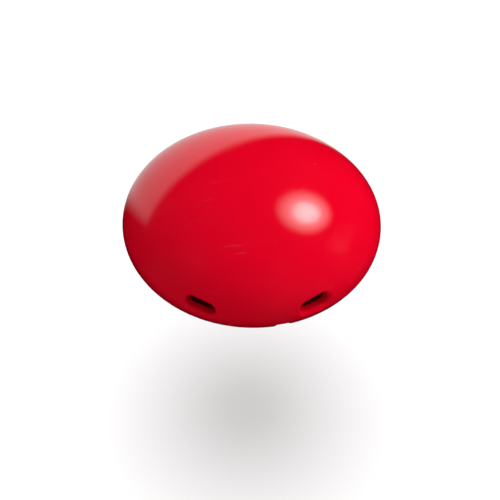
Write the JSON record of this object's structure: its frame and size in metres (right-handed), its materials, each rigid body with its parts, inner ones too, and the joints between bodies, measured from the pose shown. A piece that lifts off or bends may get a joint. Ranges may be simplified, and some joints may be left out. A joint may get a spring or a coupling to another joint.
{
  "type": "single-bell humming diabolo",
  "caption": "Hollow domed bell with rounded sound openings on a steel axle, free to spin on a grooved ball-bearing waist that a string carries, with a short tip below.",
  "frame": {"origin": "middle of the string groove, on the spin axis", "axes": "+Z along the spin axis towards the closed dome of the bell; -Y faces the first group of sound openings"},
  "size_m": [0.12, 0.12, 0.0898],
  "materials": {
    "bell_gloss": "glossy red",
    "base_gloss": "glossy red",
    "inner_plastic": "natural moulded",
    "hub_aluminium": "turned",
    "clamp_steel": "sawn and ground",
    "screw_steel": "zinc plated",
    "bolt_steel": "zinc plated",
    "shim_steel": "stamped",
    "spacer_aluminium": "turned",
    "bearing_steel": "ground and polished",
    "shield_steel": "pressed",
    "cage_nylon": "moulded",
    "ball_chrome": "polished",
    "sleeve_aluminium": "turned and polished",
    "tip_plastic": "satin black",
    "insert_nylon": "moulded",
    "plug_rubber": "soft black"
  },
  "bodies": {
    "waist": {"waist_sleeve": "sleeve_aluminium", "upper_outer_race": "bearing_steel", "lower_outer_race": "bearing_steel", "upper_shields": "shield_steel", "lower_shields": "shield_steel"},
    "bell": {"bell_shell": "bell_gloss", "base_plate": "base_gloss", "core_tube": "inner_plastic", "chamber_fin_front": "inner_plastic", "chamber_fin_right": "inner_plastic", "chamber_fin_back": "inner_plastic", "chamber_fin_left": "inner_plastic", "hub_flange": "hub_aluminium", "clamp_plate": "clamp_steel", "hub_screws": "screw_steel", "axle_bolt": "bolt_steel", "upper_shim": "shim_steel", "lower_shim": "shim_steel", "inner_spacer": "spacer_aluminium", "upper_inner_race": "bearing_steel", "lower_inner_race": "bearing_steel", "tip_cone": "tip_plastic", "lock_nut": "bolt_steel", "nut_insert": "insert_nylon", "tip_plug": "plug_rubber"},
    "upper_cage": {"upper_ball_cage": "cage_nylon", "upper_balls": "ball_chrome"},
    "lower_cage": {"lower_ball_cage": "cage_nylon", "lower_balls": "ball_chrome"}
  },
  "joints": [
    {"name": "bell_spin", "type": "hinge", "parent": "waist", "child": "bell", "pos_m": [0, 0, 0], "axis": [0, 0, 1], "continuous": true},
    {"name": "upper_cage_spin", "type": "hinge", "parent": "waist", "child": "upper_cage", "pos_m": [0, 0, 0.012], "axis": [0, 0, 1], "continuous": true},
    {"name": "lower_cage_spin", "type": "hinge", "parent": "waist", "child": "lower_cage", "pos_m": [0, 0, -0.012], "axis": [0, 0, 1], "continuous": true}
  ],
  "couplings": [
    {"joint": "upper_cage_spin", "follows": "bell_spin", "ratio": 0.3838},
    {"joint": "lower_cage_spin", "follows": "bell_spin", "ratio": 0.3838}
  ]
}
